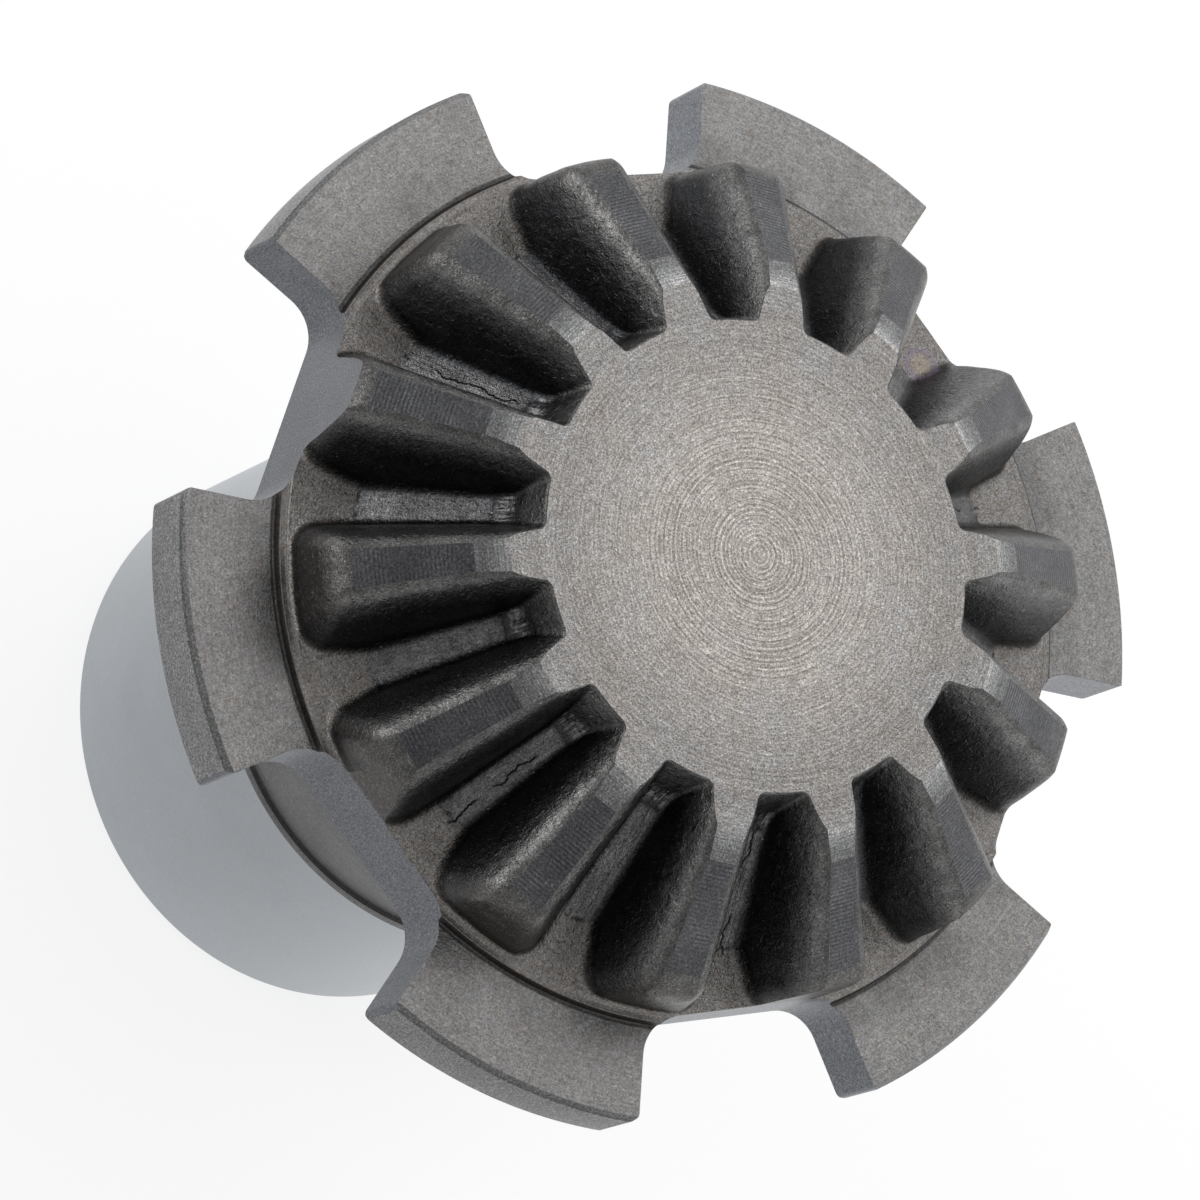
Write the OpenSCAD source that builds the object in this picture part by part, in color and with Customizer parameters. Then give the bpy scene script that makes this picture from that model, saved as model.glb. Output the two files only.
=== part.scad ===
// Differential side gear: a straight bevel gear forged in one piece with a
// six-lug locking flange and a long journal hub with a blind splined socket.
// It stands on the end of its hub, with the axis along Z and the toothed face up.

/* [Teeth] */
// Number of teeth
teeth = 14; // [10:2:20]
// Teeth of the mating pinion, which set the pitch cone
mate_teeth = 9; // [8:1:14]
// Module at the heel
heel_module = 4.8; // [4.2:0.1:5.4]
// Pressure angle
pressure_angle = 25; // [20:0.5:27]
// Height of the top land over the pitch cone, at the heel
addendum = 3.0; // [2.4:0.1:3.4]
// Depth of the root floor under the pitch cone, at the heel
dedendum = 5.2; // [4.4:0.1:5.6]
// Share of the pitch that a tooth fills on the pitch cone
tooth_share = 0.5; // [0.48:0.005:0.53]
// Forged height that is turned off the top lands, at the heel
land_stock = 0.25; // [0.1:0.05:0.5]
// Width of the forged crest before it is turned, at the heel
crest_w = 0.7; // [0.3:0.1:1]
// Depth of the rounding along the edges of a top land, at the heel
edge_round = 1.3; // [0.7:0.1:1.6]
// Depth of the fillet at the foot of a flank, at the heel
root_fillet = 0.9; // [0.5:0.1:1.4]

/* [Face and heel] */
// Height of the flat front face over the flange
face_h = 14.15; // [12:0.05:16]
// Height of the end of a top land over the flange
land_h = 8.45; // [7:0.05:9]
// Width of the broken edge between the front face and the top lands
face_break = 0.9; // [0.4:0.1:1.5]
// Radius where the wall at the toe of a tooth space meets the front face
toe_r = 19.2; // [17:0.1:20.5]
// Lean of that wall from the axis
toe_lean = 15; // [8:1:25]
// Radius of the fillet between that wall and the root floor
toe_fillet = 1.2; // [0.6:0.1:1.8]
// How far the heel face lies outside the pitch circle
heel_out = 1.4; // [0.4:0.1:1.8]
// How far the top land stops short of the heel face
heel_round = 1.5; // [0.8:0.1:1.8]
// Radius of the heel corners of a tooth at its foot
heel_corner = 2; // [1.4:0.1:3]
// Radius of the heel corners of a tooth at its top
heel_corner_top = 1.3; // [0.8:0.1:2]
// Radius of the fillet between the heel and the web
heel_fillet = 0.6; // [0.4:0.1:1]
// Width of the flatter fan at the heel end of a root floor
fan_w = 5.2; // [4:0.1:6]

/* [Flange] */
// Outer radius of the lugs
flange_r = 44; // [42:0.5:48]
// Thickness of the flange
flange_t = 5.8; // [4:0.1:8]
// Number of lugs
lugs = 6; // [4:2:8]
// Height of the forged web over the turned ring of the flange
web_step = 0.7; // [0.4:0.1:1]
// Width of the web between the heel fillet and the step
web_w = 0.5; // [0.2:0.1:1]
// Width of the front chamfer of the rim, along the radius
rim_chamfer_w = 0.4; // [0.2:0.05:0.8]
// Length of that chamfer along the axis
rim_chamfer_l = 0.65; // [0.3:0.05:1.2]
// Chamfer of the rear edge of the rim
rim_rear_chamfer = 0.2; // [0.1:0.1:1]

/* [Notches] */
// Depth of a notch from the rim, at its middle
notch_depth = 9.45; // [6:0.05:10]
// Half the angle of a notch, between its radial sides
notch_half_angle = 14.75; // [12:0.25:18]
// Radius of the corners of a notch floor
notch_corner = 3.6; // [2:0.1:4.5]
// Radius of the outer corners of a lug
lug_corner = 0.7; // [0.4:0.1:1.6]

/* [Hub] */
// Radius of the ground journal
journal_r = 24; // [22:0.25:27]
// Length of the ground journal
journal_l = 29.5; // [20:0.5:40]
// Chamfer of the end of the journal
journal_chamfer = 1; // [0.5:0.1:2]
// Height of the shoulder between the journal and the neck
shoulder_h = 0.65; // [0.4:0.05:1.5]
// Edge break of that shoulder
shoulder_break = 0.3; // [0.1:0.05:0.35]
// Length of the neck between the journal and the flange
neck_l = 28.9; // [20:0.1:40]
// Radius of the fillet between the neck and the flange
neck_fillet = 1.6; // [0.8:0.1:3]

/* [Socket] */
// Radius of the plain pilot bore at the mouth
pilot_r = 17; // [16:0.25:18]
// Depth of the pilot bore
pilot_l = 9; // [6:0.5:12]
// Chamfer at the mouth
mouth_chamfer = 1; // [0.5:0.1:1.5]
// Number of spline teeth
spline_teeth = 30; // [24:1:36]
// Radius at the bottom of the spline grooves
spline_major_r = 15.8; // [15.4:0.1:15.9]
// Radius at the tips of the spline teeth
spline_minor_r = 14.3; // [13.8:0.1:14.6]
// Length of the spline
spline_l = 30; // [20:1:36]
// Length of the clearance bore beyond the spline
relief_l = 6; // [4:0.5:10]
// Clearance of that bore over the spline grooves
relief_gap = 0.4; // [0.2:0.1:1]
// Depth of the cone at the bottom of the socket
socket_cone = 4; // [2:0.5:6]

/* [Hidden] */
$fn = 144;
steel = [0.46, 0.45, 0.43];
spill = 3;

// Heights on the axis
neck_z = journal_l;
flange_back_z = neck_z + neck_l;
flange_z = flange_back_z + flange_t;
face_z = flange_z + face_h;
web_z = flange_z + web_step;

// Pitch, face and root cones, which share one apex on the axis
pitch_r = teeth * heel_module / 2;
pitch_cone = atan(teeth / mate_teeth);
pitch_drop = 90 - pitch_cone;
cone_l = pitch_r / cos(pitch_drop);
land_drop = pitch_drop - atan(addendum / cone_l);
stock_drop = pitch_drop - atan((addendum + land_stock) / cone_l);
round_drop = pitch_drop - atan((addendum - edge_round) / cone_l);
root_drop = pitch_drop + atan(dedendum / cone_l);
fillet_drop = atan(root_fillet / cone_l);
heel_r = pitch_r + heel_out;
land_end_r = heel_r - heel_round;
apex_z = flange_z + land_h + land_end_r * tan(land_drop);
land_start_r = (apex_z - face_z) / tan(land_drop);
step_r = heel_r + heel_fillet + web_w;
pitch_angle = 360 / teeth;

// Virtual spur gear on the back cone, which gives the flanks their involute
virtual_r = pitch_r / cos(pitch_cone);
virtual_base_r = virtual_r * cos(pressure_angle);
function involute(a) = tan(a) - a * PI / 180;
function flank_pressure(rho) = acos(min(1, virtual_base_r / rho));
// Half the angle of a tooth about the axis, on a ray that drops by the given angle
function tooth_half(drop) =
    let (rho = virtual_r - cone_l * tan(drop - pitch_drop))
    let (turn = involute(pressure_angle) - involute(flank_pressure(rho)))
    tooth_share * pitch_angle / 2 + turn / cos(pitch_cone) * 180 / PI;

// Points of a quadratic curve from a to c, pulled towards b
function bend(a, b, c, steps) =
    [for (i = [0 : steps]) let (t = i / steps) (1 - t) * (1 - t) * a + 2 * t * (1 - t) * b + t * t * c];
function arc(centre, r, from, to, steps) =
    [for (i = [0 : steps]) let (a = from + (to - from) * i / steps) centre + r * [cos(a), sin(a)]];

// Half a section of a tooth space, from the top down to the floor, as angles
// [off the middle of the space, drop from the apex], for a floor at floor_drop
most_half = pitch_angle / 2 - crest_w / 2 / heel_r * 180 / PI;
flank_steps = 4;
round_steps = 4;
fillet_steps = 3;
function space_half_section(floor_drop) =
    let (half = pitch_angle / 2)
    let (top = [most_half, stock_drop])
    let (corner = [half - tooth_half(stock_drop), stock_drop])
    let (flank_top = [half - tooth_half(round_drop), round_drop])
    let (foot_drop = floor_drop - fillet_drop)
    let (foot = [half - tooth_half(floor_drop), floor_drop])
    let (floor_edge = [foot[0] - root_fillet / heel_r * 180 / PI, floor_drop])
    concat(
        bend(top, corner, flank_top, round_steps),
        [for (i = [1 : flank_steps - 1])
            let (drop = round_drop + (foot_drop - round_drop) * i / flank_steps)
            [half - tooth_half(drop), drop]],
        bend([half - tooth_half(foot_drop), foot_drop], foot, floor_edge, fillet_steps));

// Rounding of the heel corners: how far a flank is set back at radius r. The arc
// turns by heel_turn up to the heel face, and goes on straight past it
heel_turn = 72;
heel_lap = 0.15;
function corner_r(drop) =
    let (share = (drop - land_drop) / (root_drop - land_drop))
    heel_corner_top + (heel_corner - heel_corner_top) * max(0, min(1, share));
function setback(r, drop) =
    let (c = corner_r(drop))
    let (over = max(0, min(heel_lap, r - heel_r) + c * sin(heel_turn)))
    let (on_arc = min(over, c * sin(heel_turn)))
    c - sqrt(c * c - on_arc * on_arc) + (over - on_arc) * tan(heel_turn);

// Stations along a tooth space, as [radius, height of the floor]: the wall at
// the toe, its fillet, the sloping root floor and the flatter fan at the heel
function root_z(r) = apex_z - r * tan(root_drop);
function wall_z(r) = face_z - (r - toe_r) / tan(toe_lean);
wall_foot_r = (apex_z - face_z - toe_r / tan(toe_lean)) / (tan(root_drop) - 1 / tan(toe_lean));
wall_top_r = toe_r - spill * tan(toe_lean) / 2;
fillet_wall_r = wall_foot_r - toe_fillet * sin(toe_lean);
fillet_floor_r = wall_foot_r + toe_fillet * cos(root_drop);
crease_r = heel_r - fan_w;
fan_end_r = heel_r + heel_fillet / 2;
fan_end_z = web_z + heel_fillet / 4;
corner_steps = 6;
corner_start_r = heel_r - heel_corner * sin(heel_turn);
corner_run = heel_r + heel_lap - corner_start_r;
function fan_z(r) =
    root_z(crease_r) + (fan_end_z - root_z(crease_r)) * (r - crease_r) / (fan_end_r - crease_r);
toe_stations = concat(
    [[wall_top_r, wall_z(wall_top_r)]],
    bend([fillet_wall_r, wall_z(fillet_wall_r)], [wall_foot_r, root_z(wall_foot_r)],
        [fillet_floor_r, root_z(fillet_floor_r)], 3));
heel_stations = [for (i = [0 : corner_steps])
    let (r = corner_start_r + corner_run * sin(heel_turn * i / corner_steps) / sin(heel_turn))
    [r, fan_z(r)]];
stations = concat(toe_stations, [[crease_r, fan_z(crease_r)]], heel_stations,
    [[fan_end_r, fan_end_z], [step_r + heel_fillet, fan_end_z + heel_fillet]]);
space_top_z = apex_z - wall_top_r * tan(stock_drop) + spill / 2;

// Points of one side of a section on the cylinder of radius r; side is 1 or -1
function side_points(r, floor_z, side) =
    let (half_section = space_half_section(atan((apex_z - floor_z) / r)))
    let (angles = [for (p = half_section) side * min(most_half, p[0] + setback(r, p[1]) / r * 180 / PI)])
    concat(
        [[r * cos(angles[0]), r * sin(angles[0]), space_top_z]],
        [for (i = [0 : len(half_section) - 1])
            [r * cos(angles[i]), r * sin(angles[i]), apex_z - r * tan(half_section[i][1])]]);
function reversed(list) = [for (i = [len(list) - 1 : -1 : 0]) list[i]];

// One tooth space as a solid, in the direction of +X
module tooth_space() {
    rings = [for (s = stations) concat(side_points(s[0], s[1], 1), reversed(side_points(s[0], s[1], -1)))];
    n = len(rings[0]);
    last = (len(rings) - 1) * n;
    skin = [for (k = [0 : len(rings) - 2]) for (i = [0 : n - 1])
        let (a = k * n + i)
        let (b = k * n + (i + 1) % n)
        each [[a, b, b + n], [a, b + n, a + n]]];
    toe_cap = [for (i = [0 : n / 2 - 2]) each [[i, n - 1 - i, i + 1], [i + 1, n - 1 - i, n - 2 - i]]];
    heel_cap = [for (t = toe_cap) [for (p = reversed(t)) p + last]];
    polyhedron([for (ring = rings) each ring], concat(skin, toe_cap, heel_cap));
}

// Outline of one half of the turned blank
module blank_outline() {
    edge_steps = 4;
    journal_in = journal_r - journal_chamfer;
    neck_r = journal_r - shoulder_h;
    fillet_c = [neck_r + neck_fillet, flange_back_z - neck_fillet];
    heel_c = [heel_r + heel_fillet, web_z + heel_fillet];
    break_r = land_start_r - face_break / 2;
    break_end_r = break_r + face_break;
    polygon(concat(
        [[0, 0], [journal_in, 0], [journal_r, journal_chamfer]],
        [[journal_r, neck_z - shoulder_break], [journal_r - shoulder_break, neck_z], [neck_r, neck_z]],
        arc(fillet_c, neck_fillet, 180, 90, edge_steps),
        [[flange_r - rim_rear_chamfer, flange_back_z], [flange_r, flange_back_z + rim_rear_chamfer]],
        [[flange_r, flange_z - rim_chamfer_l], [flange_r - rim_chamfer_w, flange_z]],
        [[step_r, flange_z], [step_r - web_w / 2, web_z]],
        arc(heel_c, heel_fillet, 270, 180, edge_steps),
        bend([heel_r, flange_z + land_h - 2 * heel_round], [heel_r, flange_z + land_h - heel_round / 2],
            [land_end_r, flange_z + land_h], edge_steps),
        [[break_end_r, apex_z - break_end_r * tan(land_drop)], [break_r, face_z], [0, face_z]]));
}

// One notch between two lugs, in the direction of +X
module notch() {
    floor_x = flange_r - notch_depth;
    corner_turn = 90 - notch_half_angle;
    along = [cos(notch_half_angle), sin(notch_half_angle)];
    across = [-along[1], along[0]];
    side_start = floor_x / along[0] + notch_corner * tan(corner_turn / 2);
    corner_c = side_start * along - notch_corner * across;
    lug_c = (flange_r - lug_corner) * along + lug_corner * across;
    lug_turn = 65;
    lug_arc = arc(lug_c, lug_corner, notch_half_angle - 90, notch_half_angle - 90 + lug_turn, 4);
    lug_run = spill * [cos(notch_half_angle + lug_turn), sin(notch_half_angle + lug_turn)];
    half = concat(
        arc(corner_c, notch_corner, 180, 180 - corner_turn, 6),
        lug_arc,
        [lug_arc[len(lug_arc) - 1] + lug_run, [flange_r + 2 * spill, flange_r * along[1]]]);
    mirrored = [for (p = reversed(half)) [p[0], -p[1]]];
    translate([0, 0, flange_back_z - spill])
        linear_extrude(face_z - flange_back_z + 2 * spill)
            polygon(concat(half, mirrored));
}

// Cross-section of the splined part of the socket
module spline_outline() {
    step = 360 / spline_teeth;
    foot_share = 0.2;
    tip_share = 0.32;
    polygon([for (i = [0 : spline_teeth - 1]) each [
        for (p = [[spline_minor_r, -tip_share], [spline_major_r, -foot_share],
                  [spline_major_r, foot_share], [spline_minor_r, tip_share]])
            let (a = step * (i + p[1]))
            p[0] * [cos(a), sin(a)]]]);
}

// The blind socket in the hub, from its mouth at the foot of the part
module socket() {
    relief_r = spline_major_r + relief_gap;
    relief_z = pilot_l + spline_l;
    translate([0, 0, -spill])
        cylinder(r = pilot_r, h = pilot_l + spill);
    translate([0, 0, -mouth_chamfer])
        cylinder(r1 = pilot_r + 2 * mouth_chamfer, r2 = pilot_r, h = 2 * mouth_chamfer);
    translate([0, 0, pilot_l - spill])
        linear_extrude(spline_l + 2 * spill)
            spline_outline();
    translate([0, 0, relief_z])
        rotate_extrude()
            polygon([[0, 0], [relief_r, 0], [relief_r, relief_l], [0, relief_l + socket_cone]]);
}

module side_gear() {
    color(steel)
        difference() {
            rotate_extrude()
                blank_outline();
            for (i = [0 : teeth - 1])
                rotate(i * pitch_angle)
                    tooth_space();
            for (i = [0 : lugs - 1])
                rotate((i + 0.5) * 360 / lugs)
                    notch();
            socket();
        }
}

side_gear();
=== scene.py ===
"""Forged bevel side gear with its six-lug flange and ground hub, dressed for a product picture."""
from types import SimpleNamespace

import bmesh
import bpy
import numpy as np
from bpy.props import FloatProperty, FloatVectorProperty, IntProperty, PointerProperty
from mathutils import Matrix, Vector, noise


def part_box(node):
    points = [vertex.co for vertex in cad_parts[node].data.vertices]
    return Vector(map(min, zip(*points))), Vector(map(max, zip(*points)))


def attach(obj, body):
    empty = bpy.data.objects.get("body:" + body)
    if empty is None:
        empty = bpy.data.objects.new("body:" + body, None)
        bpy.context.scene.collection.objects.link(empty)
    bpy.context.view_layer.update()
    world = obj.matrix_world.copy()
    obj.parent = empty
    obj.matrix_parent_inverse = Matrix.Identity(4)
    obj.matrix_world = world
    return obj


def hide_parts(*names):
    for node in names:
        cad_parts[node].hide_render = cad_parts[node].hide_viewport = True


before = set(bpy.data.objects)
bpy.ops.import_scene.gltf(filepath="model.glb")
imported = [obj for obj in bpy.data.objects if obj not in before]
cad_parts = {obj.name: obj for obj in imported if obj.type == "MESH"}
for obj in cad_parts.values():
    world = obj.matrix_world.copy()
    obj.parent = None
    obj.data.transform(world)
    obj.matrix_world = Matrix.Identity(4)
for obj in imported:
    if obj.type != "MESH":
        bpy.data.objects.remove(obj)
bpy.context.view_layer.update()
GEAR_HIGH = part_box("side_gear")[1]
MM = 0.001

bl_info = {
    "name": "Bevel side gear",
    "version": (1, 0, 0),
    "blender": (4, 5, 0),
    "location": "3D View > Sidebar > Side gear",
    "description": "Builds a forged straight bevel side gear with its finishes, and a plain studio for it",
    "category": "Add Mesh",
}


def length(name, description, default):
    return FloatProperty(name=name, description=description, default=default, min=0.0,
                         precision=5, unit="LENGTH")


def angle(name, description, degrees):
    return FloatProperty(name=name, description=description, default=np.radians(degrees),
                         subtype="ANGLE", unit="ROTATION")


def colour(name, description, default):
    return FloatVectorProperty(name=name, description=description, default=default, size=3,
                               min=0.0, max=1.0, subtype="COLOR")


def factor(name, description, default):
    return FloatProperty(name=name, description=description, default=default, min=0.0, max=1.0,
                         subtype="FACTOR")


def power(name, description, watts):
    return FloatProperty(name=name, description=description, default=watts, min=0.0, unit="POWER")


class GearTeeth(bpy.types.PropertyGroup):
    """Sizes of the forged teeth"""
    teeth: IntProperty(name="Teeth", description="Number of teeth", default=14, min=10, max=20)
    mate_teeth: IntProperty(name="Pinion teeth", description="Teeth of the mating pinion",
                            default=9, min=8, max=14)
    module: length("Heel module", "Module at the heel of the teeth", 0.0048)
    pressure: angle("Pressure angle", "Pressure angle of the flanks", 25)
    addendum: length("Addendum", "Top land over the pitch cone, at the heel", 0.0030)
    dedendum: length("Dedendum", "Root floor under the pitch cone, at the heel", 0.0052)
    land_stock: length("Land stock", "Forged height turned off the top lands", 0.00025)
    crest: length("Crest width", "Width of the forged crest before it is turned", 0.0007)
    edge_round: length("Edge rounding", "Depth of the rounding along a top land", 0.0013)
    root_fillet: length("Root fillet", "Depth of the fillet at the foot of a flank", 0.0009)
    toe_r: length("Toe radius", "Where the wall at the toe meets the front face", 0.0192)
    toe_lip: length("Toe lip", "Rounding of the front edge of a tooth space", 0.0002)
    toe_corner: length("Toe corner", "Radius between a flank and the wall at the toe", 0.00045)
    toe_fillet: length("Toe fillet", "Radius between the toe wall and the root floor", 0.0012)
    heel_out: length("Heel", "Heel face outside the pitch circle", 0.0014)
    heel_round: length("Heel rounding", "How far a top land stops short of the heel", 0.0015)
    heel_corner: length("Heel corner", "Radius of the heel corners at the foot", 0.002)
    heel_corner_top: length("Heel corner at the top", "Radius of the heel corners at the top", 0.0013)
    heel_fillet: length("Heel fillet", "Radius between the heel and the web", 0.0006)
    fan_w: length("Fan width", "Width of the flatter fan at the heel end of a root floor", 0.0052)
    unevenness: length("Forging unevenness", "Depth of the waves left by forging", 0.00005)


class GearBlank(bpy.types.PropertyGroup):
    """Sizes of the turned blank, the lugs and the hub"""
    flange_r: length("Flange radius", "Outer radius of the lugs", GEAR_HIGH.x)
    face_z: length("Face height", "Height of the front face over the hub end", GEAR_HIGH.z)
    face_h: length("Tooth block", "Height of the front face over the flange", 0.01415)
    land_h: length("Land end", "Height of the end of a top land over the flange", 0.00845)
    face_break: length("Broken edge", "Width of the broken edge of the front face", 0.0009)
    toe_facet: length("Toe facet", "How far the broken edge runs out over the top lands", 0.0017)
    flange_t: length("Flange thickness", "Thickness of the flange", 0.0058)
    web_step: length("Web step", "Forged web over the turned ring", 0.0007)
    web_w: length("Web width", "Width of the web outside the heel fillet", 0.0005)
    rim_chamfer_w: length("Rim chamfer width", "Front chamfer of the rim, along the radius", 0.0004)
    rim_chamfer_l: length("Rim chamfer length", "Front chamfer of the rim, along the axis", 0.00065)
    rear_chamfer: length("Rear chamfer", "Chamfer of the rear edge of the rim", 0.0002)
    lugs: IntProperty(name="Lugs", description="Number of lugs", default=6, min=4, max=8)
    notch_depth: length("Notch depth", "Depth of a notch from the rim", 0.00945)
    notch_half: angle("Notch half angle", "Half the angle between the sides of a notch", 14.75)
    notch_corner: length("Notch corner", "Radius of the corners of a notch floor", 0.0036)
    lug_corner: length("Lug corner", "Radius of the outer corners of a lug", 0.0007)
    journal_r: length("Journal radius", "Radius of the ground journal", 0.024)
    journal_l: length("Journal length", "Length of the ground journal", 0.0295)
    journal_chamfer: length("Journal chamfer", "Chamfer of the end of the journal", 0.001)
    shoulder: length("Shoulder", "Height of the shoulder behind the journal", 0.00065)
    shoulder_break: length("Shoulder break", "Edge break of the shoulder", 0.0003)
    neck_fillet: length("Neck fillet", "Radius between the neck and the flange", 0.0016)
    pilot_r: length("Pilot radius", "Radius of the bore at the mouth of the socket", 0.017)
    pilot_l: length("Pilot depth", "Depth of the bore at the mouth", 0.009)
    mouth_chamfer: length("Mouth chamfer", "Chamfer at the mouth of the socket", 0.001)
    spline_teeth: IntProperty(name="Spline teeth", description="Teeth of the internal spline",
                              default=30, min=24, max=36)
    spline_major: length("Spline major radius", "Radius at the bottom of the grooves", 0.0158)
    spline_minor: length("Spline minor radius", "Radius at the tips of the spline teeth", 0.0143)
    spline_l: length("Spline length", "Length of the spline", 0.030)
    relief_l: length("Relief length", "Length of the bore beyond the spline", 0.006)
    relief_gap: length("Relief gap", "Clearance of that bore over the grooves", 0.0004)
    socket_cone: length("Socket cone", "Depth of the cone at the bottom", 0.004)


class GearFinish(bpy.types.PropertyGroup):
    """Colours of the finishes"""
    face: colour("Front face", "Turned front face", (0.385, 0.355, 0.33))
    face_cool: colour("Front face, cool", "Cooler patches of the front face", (0.32, 0.322, 0.325))
    edge: colour("Broken edge", "Broken edge of the front face and worn edges", (0.56, 0.55, 0.54))
    land: colour("Top lands", "Turned top lands", (0.119, 0.12, 0.127))
    skin: colour("Forged skin", "Forged flanks", (0.047, 0.048, 0.051))
    crest: colour("Forged edges", "Rounded edges of the teeth", (0.148, 0.146, 0.144))
    heel: colour("Heels", "Heel faces of the teeth", (0.125, 0.118, 0.114))
    floor: colour("Root floors", "Floors of the tooth spaces", (0.215, 0.215, 0.22))
    web: colour("Web", "Forged web behind the teeth", (0.25, 0.244, 0.238))
    flange: colour("Flange", "Turned flange", (0.275, 0.27, 0.268))
    stain: colour("Flange stain", "Warm specks of the flange", (0.235, 0.21, 0.19))
    rim: colour("Rim", "Turned rim of the lugs", (0.305, 0.305, 0.308))
    notch: colour("Notches", "Milled walls of the notches", (0.207, 0.218, 0.238))
    journal: colour("Journal", "Ground journal", (0.47, 0.50, 0.53))
    neck: colour("Neck", "Turned neck", (0.24, 0.24, 0.24))
    heat: colour("Heat tint", "Middle of the heat tint on one root floor", (0.40, 0.34, 0.27))
    heat_edge: colour("Heat tint, edge", "Ring around the heat tint", (0.27, 0.21, 0.31))
    socket: colour("Socket", "Bored and splined socket", (0.28, 0.28, 0.28))
    pit: colour("Pits", "Small pits of the front face", (0.08, 0.07, 0.06))
    scuff: colour("Scuffs", "Light scuffs of the front face", (0.62, 0.61, 0.59))
    crack: colour("Cracks", "Trim cracks on the root floors", (0.004, 0.004, 0.005))
    nick_and_glint: colour("Nicks", "Small bright nicks of the forged skin", (0.5, 0.5, 0.5))
    chip: colour("Chips", "Small chips along the edges of the rim", (0.03, 0.03, 0.032))
    notch_pit: colour("Notch pits", "Small pits of the milled notches", (0.05, 0.05, 0.05))


class GearStage(bpy.types.PropertyGroup):
    """The plain studio"""
    floor: colour("Floor", "Colour of the floor", (0.86, 0.86, 0.87))
    size: length("Floor size", "Length of a side of the floor", 6.0)
    shadow: factor("Shadow", "How dark the shadow on the floor is", 0.45)
    dull: factor("Dull side", "What the metal mirrors of the floor on the viewer's side", 0.57)
    air: FloatProperty(name="Air", description="Strength of the light all round", default=0.88,
                       min=0.0, max=1.5)
    key: power("Key light", "Power of the lamp at the upper left", 1.6)
    fill: power("Fill light", "Power of the lamp at the upper right", 0.9)
    lamp_size: length("Lamp size", "Diameter of each lamp", 0.5)
    lamp_gap: length("Lamp distance", "From the gear to each lamp", 0.8)
    focal: FloatProperty(name="Focal length", description="Focal length of the camera in mm",
                         default=202.97, min=20.0, max=400.0, unit="CAMERA")


# Numbers of the finishes, and names of the zones of the forged skin
FACE, EDGE, LAND, FORGED, WEB, FLANGE, RIM, NOTCH, JOURNAL, NECK, SOCKET = range(11)
ZONES = ("crest", "floor", "toe", "fan", "foot", "heel", "across", "valley")

# Columns of the mesh over half a tooth and half a space, and steps of the curves they are spread over
TOP_COLUMNS = 7
SIDE_COLUMNS = 20
FLOOR_COLUMNS = 6
CREST_STEPS = 24
FLANK_STEPS = 42
FILLET_STEPS = 20

# Distances between the sections of a tooth, and the rows after which the vertices are evenly spaced
FLOOR_STEP = 0.31 * MM
FAN_STEP = 0.35 * MM
EVEN_ROWS = 12

# Small forms: lean of the wall at the toe, half the blend from root floor to fan, the lip of a space as
# shares of its size, the stretch over which the lip of a land fades, softened edges and spline leads
TOE_LEAN = np.radians(12)
CREASE_BLEND = 0.4 * MM
LIP_PULL, LIP_REACH, LIP_DEPTH = 0.7, 1.1, 1.5
LIP_FADE = 1.0 * MM
STEP_SOFT = 0.06 * MM
SPLINE_LEAD = 0.5 * MM

# A cutter's reach past the metal, and the turn of a lug's rounded corner in degrees
SPILL = 3 * MM
LUG_TURN = 65

# Waves of the forging to the millimetre, and the share and shift of the narrow ones
BROAD_WAVE = 0.42
NARROW_WAVE = 1.05
NARROW_SHARE = 0.55
NARROW_SHIFT = Vector((7, 3, 1))

# Vertices nearer than the gap are one, edges shorter than the sliver go, and edges that turn by more
# than the angle are sharp
WELD_GAP = 1e-7
SLIVER = 1e-8
SHARP_ANGLE = np.radians(34)

# Seed of the draw that gives each tooth space its own marks
MARK_SEED = 14


def involute(a):
    return np.tan(a) - a


def bend(a, b, c, steps):
    """Points of a quadratic curve from a to c, pulled towards b"""
    t = np.linspace(0, 1, steps + 1)[:, None]
    return (1 - t) ** 2 * np.array(a) + 2 * t * (1 - t) * np.array(b) + t ** 2 * np.array(c)


def arc(centre, radius, start, end, steps):
    a = np.radians(np.linspace(start, end, steps + 1))
    return np.array(centre) + radius * np.stack([np.cos(a), np.sin(a)], 1)


def run_lengths(points):
    """Length of a polyline up to each of its points"""
    return np.concatenate([[0], np.cumsum(np.linalg.norm(np.diff(points, axis=0), axis=1))])


def along(points, shares):
    """Points of a polyline at the given shares of its length"""
    run = run_lengths(points)
    at = np.asarray(shares) * run[-1]
    return np.stack([np.interp(at, run, points[:, i]) for i in range(points.shape[1])], 1)


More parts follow.
